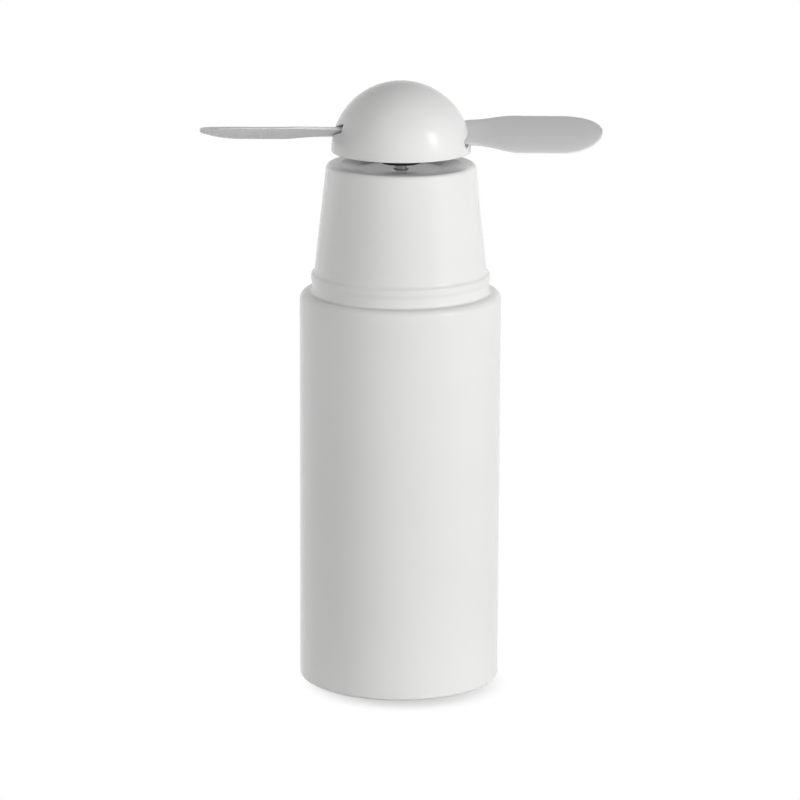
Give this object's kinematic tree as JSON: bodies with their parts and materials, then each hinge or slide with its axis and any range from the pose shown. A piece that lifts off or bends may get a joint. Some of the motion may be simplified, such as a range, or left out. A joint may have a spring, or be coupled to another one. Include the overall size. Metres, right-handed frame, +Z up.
{
  "type": "mini fan",
  "caption": "Hand-held battery fan: white cylinder body, tapered motor neck, domed hub with soft blades, rear slide switch and twist-off battery door.",
  "frame": {"origin": "centre of the foot, on the plane that the fan stands on", "axes": "+Z up along the body's and shaft's axis; the blades lie along X and the switch is on +Y"},
  "size_m": [0.0714, 0.0371, 0.109],
  "materials": {
    "white_abs": "glossy moulded white ABS",
    "inner_abs": "satin moulded ABS, inside",
    "black_abs": "satin moulded black plastic",
    "soft_blade": "matt soft white blade",
    "steel": "bright steel",
    "bronze": "sintered bronze",
    "ferrite": "sintered ferrite",
    "copper": "copper",
    "cell_sleeve": "printed sleeve, plain grey",
    "red_lead": "insulated lead",
    "black_lead": "insulated lead"
  },
  "bodies": {
    "housing": {"body_shell": "white_abs", "neck_housing": "white_abs", "chassis": "inner_abs", "motor_end_bell": "black_abs", "switch_housing": "black_abs", "chassis_screw_front": "steel", "chassis_screw_rear": "steel", "motor_can": "steel", "switch_frame": "steel", "switch_terminal_off": "steel", "switch_terminal_common": "steel", "switch_terminal_on": "steel", "positive_contact": "steel", "negative_contact": "steel", "negative_spring": "steel", "front_bush": "bronze", "rear_bush": "bronze", "magnet_left": "ferrite", "magnet_right": "ferrite", "brush_left": "copper", "brush_right": "copper", "battery_left": "cell_sleeve", "battery_right": "cell_sleeve", "wire_battery_switch": "red_lead", "wire_switch_motor": "red_lead", "wire_battery_motor": "black_lead"},
    "rotor": {"motor_shaft": "steel", "rotor_core": "steel", "rotor_winding_a": "copper", "rotor_winding_b": "copper", "rotor_winding_c": "copper", "commutator": "copper", "blade_hub": "black_abs", "hub_dome": "white_abs", "blade_left": "soft_blade", "blade_right": "soft_blade"},
    "switch": {"switch_knob": "white_abs", "switch_lever": "black_abs", "switch_wiper": "copper"},
    "door": {"battery_door": "white_abs", "door_contact": "steel", "door_spring": "steel"}
  },
  "joints": [
    {"name": "fan_spin", "type": "hinge", "parent": "housing", "child": "rotor", "pos_m": [0, 0, 0.09425], "axis": [0, 0, 1], "continuous": true},
    {"name": "switch_slide", "type": "slide", "parent": "housing", "child": "switch", "axis": [0, 0, 1], "range_m": [0, 0.003]},
    {"name": "door_twist", "type": "hinge", "parent": "housing", "child": "door", "pos_m": [0, 0, 0.0008], "axis": [0, 0, 1], "range_deg": [0, 40]}
  ]
}
